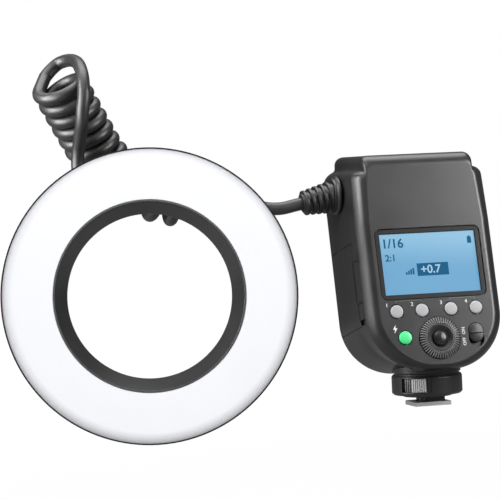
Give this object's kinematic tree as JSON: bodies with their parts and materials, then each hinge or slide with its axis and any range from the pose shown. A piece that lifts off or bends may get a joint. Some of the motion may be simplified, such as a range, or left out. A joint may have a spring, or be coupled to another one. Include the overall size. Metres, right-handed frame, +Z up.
{
  "type": "macro ring flash",
  "caption": "Macro ring flash: shoe-mounted control unit with screen, dial and buttons, joined by a curly cord to a white ring light that fits round a lens.",
  "frame": {"origin": "centre of the underside of the shoe foot plate", "axes": "+Z up out of the camera's shoe, -Y out of the unit's screen side towards the user, +Y the way the foot slides into the shoe, -X towards the ring head"},
  "size_m": [0.2517, 0.092, 0.1902],
  "materials": {
    "body_charcoal": "fine satin texture",
    "black_plastic": "satin",
    "button_grey": "smooth satin",
    "button_green": "smooth, slightly translucent",
    "screen_glass": "clear, printed dark border",
    "screen_blue": "lit screen",
    "board_green": "solder mask",
    "component_dark": "satin",
    "steel": "brushed",
    "gold_contact": "polished",
    "cell_blue": "shrink sleeve",
    "window_red": "dark translucent red",
    "screw_black": "blackened",
    "cord_rubber": "satin",
    "diffuser_white": "milky, lit from behind",
    "reflector_silver": "bright",
    "tube_glass": "clear",
    "lamp_cream": "moulded lens",
    "copper_winding": "lacquered wire",
    "lever_grey": "satin, ribbed"
  },
  "bodies": {
    "control_unit": {"face_cover": "body_charcoal", "rear_shell": "body_charcoal", "screen_pane": "screen_glass", "lcd_panel": "screen_blue", "lcd_frame": "black_plastic", "control_board": "board_green", "tact_switches": "component_dark", "dial_encoder": "component_dark", "switch_body": "component_dark", "power_board": "board_green", "flash_capacitor": "component_dark", "charge_transformer": "copper_winding", "battery_bay": "black_plastic", "battery_contacts": "gold_contact", "assist_window": "window_red", "neck_ring": "black_plastic", "foot_collar": "body_charcoal", "foot_block": "black_plastic", "foot_plate": "steel", "contact_pins": "gold_contact", "cable_gland": "cord_rubber", "case_screws": "screw_black", "cord_unit_lead": "cord_rubber"},
    "mode_button": {"mode_button": "button_grey"},
    "lamp_button": {"lamp_button": "button_grey"},
    "menu_button": {"menu_button": "button_grey"},
    "ratio_button": {"ratio_button": "button_grey"},
    "test_button": {"test_button": "button_green"},
    "set_button": {"set_button": "body_charcoal"},
    "control_dial": {"control_dial": "body_charcoal"},
    "power_switch": {"power_switch": "black_plastic"},
    "battery_pack": {"battery_case": "body_charcoal", "battery_cells": "cell_blue"},
    "battery_latch": {"battery_latch": "black_plastic"},
    "lock_lever": {"lock_lever": "lever_grey"},
    "lock_pin": {"lock_pin": "steel"},
    "ring_head": {"head_housing": "black_plastic", "front_diffuser": "diffuser_white", "inner_barrel": "black_plastic", "reflector_ring": "reflector_silver", "flash_tube_left": "tube_glass", "flash_tube_right": "tube_glass", "tube_caps": "steel", "lamp_board": "board_green", "focus_lamps": "lamp_cream", "trigger_coil": "copper_winding", "left_claw_spring": "steel", "right_claw_spring": "steel", "head_gland": "cord_rubber", "head_screws": "screw_black", "cord_curls": "cord_rubber", "cord_head_lead": "cord_rubber"},
    "left_claw": {"left_claw": "body_charcoal"},
    "right_claw": {"right_claw": "body_charcoal"}
  },
  "joints": [
    {"name": "mode_press", "type": "slide", "parent": "control_unit", "child": "mode_button", "axis": [0, 0.9703, -0.2419], "range_m": [0, 0.0005], "stiffness_N_per_m": 400},
    {"name": "lamp_press", "type": "slide", "parent": "control_unit", "child": "lamp_button", "axis": [0, 0.9703, -0.2419], "range_m": [0, 0.0005], "stiffness_N_per_m": 400},
    {"name": "menu_press", "type": "slide", "parent": "control_unit", "child": "menu_button", "axis": [0, 0.9703, -0.2419], "range_m": [0, 0.0005], "stiffness_N_per_m": 400},
    {"name": "ratio_press", "type": "slide", "parent": "control_unit", "child": "ratio_button", "axis": [0, 0.9703, -0.2419], "range_m": [0, 0.0005], "stiffness_N_per_m": 400},
    {"name": "test_press", "type": "slide", "parent": "control_unit", "child": "test_button", "axis": [0, 0.9703, -0.2419], "range_m": [0, 0.0005], "stiffness_N_per_m": 400},
    {"name": "set_press", "type": "slide", "parent": "control_dial", "child": "set_button", "axis": [0, 0.9703, -0.2419], "range_m": [0, 0.0005], "stiffness_N_per_m": 400},
    {"name": "dial_turn", "type": "hinge", "parent": "control_unit", "child": "control_dial", "pos_m": [0, -0.0233, 0.03446], "axis": [0, -0.9703, 0.2419], "continuous": true},
    {"name": "power_slide", "type": "slide", "parent": "control_unit", "child": "power_switch", "axis": [0, -0.2419, -0.9703], "range_m": [0, 0.0022]},
    {"name": "battery_pull", "type": "slide", "parent": "control_unit", "child": "battery_pack", "axis": [-1, 0, 0], "range_m": [0, 0.064]},
    {"name": "latch_slide", "type": "slide", "parent": "control_unit", "child": "battery_latch", "axis": [0, -0.2419, -0.9703], "range_m": [0, 0.0025], "stiffness_N_per_m": 400},
    {"name": "lever_turn", "type": "hinge", "parent": "control_unit", "child": "lock_lever", "pos_m": [0, 0, 0.01], "axis": [0, 0, -1], "range_deg": [0, 20]},
    {"name": "pin_drop", "type": "slide", "parent": "control_unit", "child": "lock_pin", "axis": [0, 0, -1], "range_m": [0, 0.0018]},
    {"name": "head_pull", "type": "slide", "parent": "control_unit", "child": "ring_head", "axis": [-1, 0, 0], "range_m": [0, 0.08], "stiffness_N_per_m": 20, "deforming": ["cord_curls"]},
    {"name": "left_claw_slide", "type": "slide", "parent": "ring_head", "child": "left_claw", "axis": [-0.9774, 0.2113, 0], "range_m": [0, 0.002], "stiffness_N_per_m": 300, "deforming": ["left_claw_spring"]},
    {"name": "right_claw_slide", "type": "slide", "parent": "ring_head", "child": "right_claw", "axis": [0.9774, -0.2113, 0], "range_m": [0, 0.002], "stiffness_N_per_m": 300, "deforming": ["right_claw_spring"]}
  ],
  "couplings": [
    {"joint": "pin_drop", "follows": "lever_turn", "m_per_rad": 0.0051566}
  ]
}
